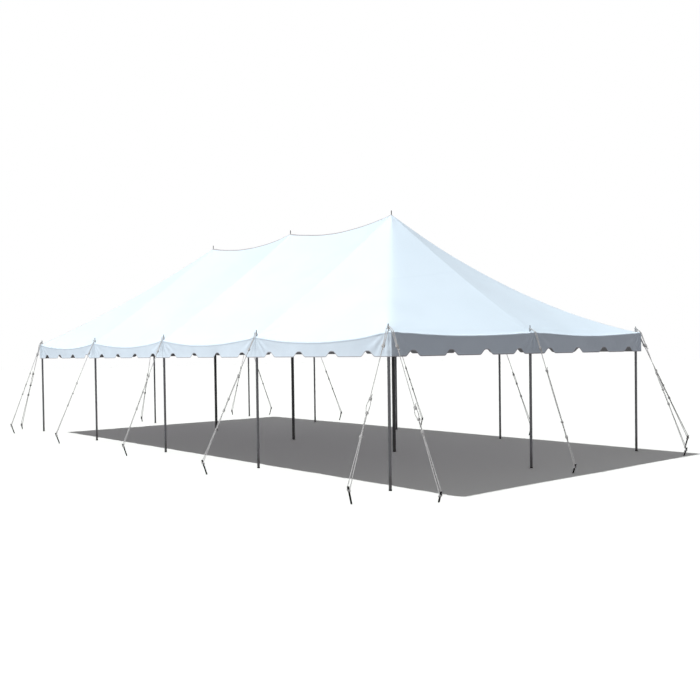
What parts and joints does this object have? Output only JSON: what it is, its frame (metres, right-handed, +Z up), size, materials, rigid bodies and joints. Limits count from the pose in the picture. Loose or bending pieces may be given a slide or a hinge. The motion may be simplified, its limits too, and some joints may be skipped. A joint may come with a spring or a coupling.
{
  "type": "pole tent",
  "caption": "White rope-and-pole marquee tent with a peaked fabric top, notched valance, side and centre poles, guy ropes and stakes.",
  "frame": {"origin": "on the ground at the middle of the plan", "axes": "+X along the long side, +Y across the tent towards the back, +Z up"},
  "size_m": [14.3598, 8.314, 4.425],
  "materials": {
    "top_sheet": "smooth white coated fabric, faintly cool, slightly translucent",
    "valance_sheet": "the same white coated fabric, single thickness with a darker hem line",
    "side_tube": "dull galvanised steel tube, worn grey",
    "centre_tube": "dull galvanised steel tube, darker",
    "rope": "twisted white fibre rope, greyed",
    "stake_iron": "black driven iron bar"
  },
  "bodies": {
    "root": {"canopy": "top_sheet", "valance_front": "valance_sheet", "valance_back": "valance_sheet", "valance_left": "valance_sheet", "valance_right": "valance_sheet", "pole_front_1": "side_tube", "pole_front_2": "side_tube", "pole_front_3": "side_tube", "pole_front_4": "side_tube", "pole_front_5": "side_tube", "pole_back_1": "side_tube", "pole_back_2": "side_tube", "pole_back_3": "side_tube", "pole_back_4": "side_tube", "pole_back_5": "side_tube", "pole_left_mid": "side_tube", "pole_right_mid": "side_tube", "centre_pole_1": "centre_tube", "centre_pole_2": "centre_tube", "centre_pole_3": "centre_tube", "guy_front_1": "rope", "guy_front_2": "rope", "guy_front_3": "rope", "guy_front_4": "rope", "guy_front_5": "rope", "guy_back_1": "rope", "guy_back_2": "rope", "guy_back_3": "rope", "guy_back_4": "rope", "guy_back_5": "rope", "guy_left_1": "rope", "guy_left_2": "rope", "guy_left_3": "rope", "guy_right_1": "rope", "guy_right_2": "rope", "guy_right_3": "rope", "stake_front_1": "stake_iron", "stake_front_2": "stake_iron", "stake_front_3": "stake_iron", "stake_front_4": "stake_iron", "stake_front_5": "stake_iron", "stake_back_1": "stake_iron", "stake_back_2": "stake_iron", "stake_back_3": "stake_iron", "stake_back_4": "stake_iron", "stake_back_5": "stake_iron", "stake_left_1": "stake_iron", "stake_left_2": "stake_iron", "stake_left_3": "stake_iron", "stake_right_1": "stake_iron", "stake_right_2": "stake_iron", "stake_right_3": "stake_iron"}
  },
  "joints": []
}
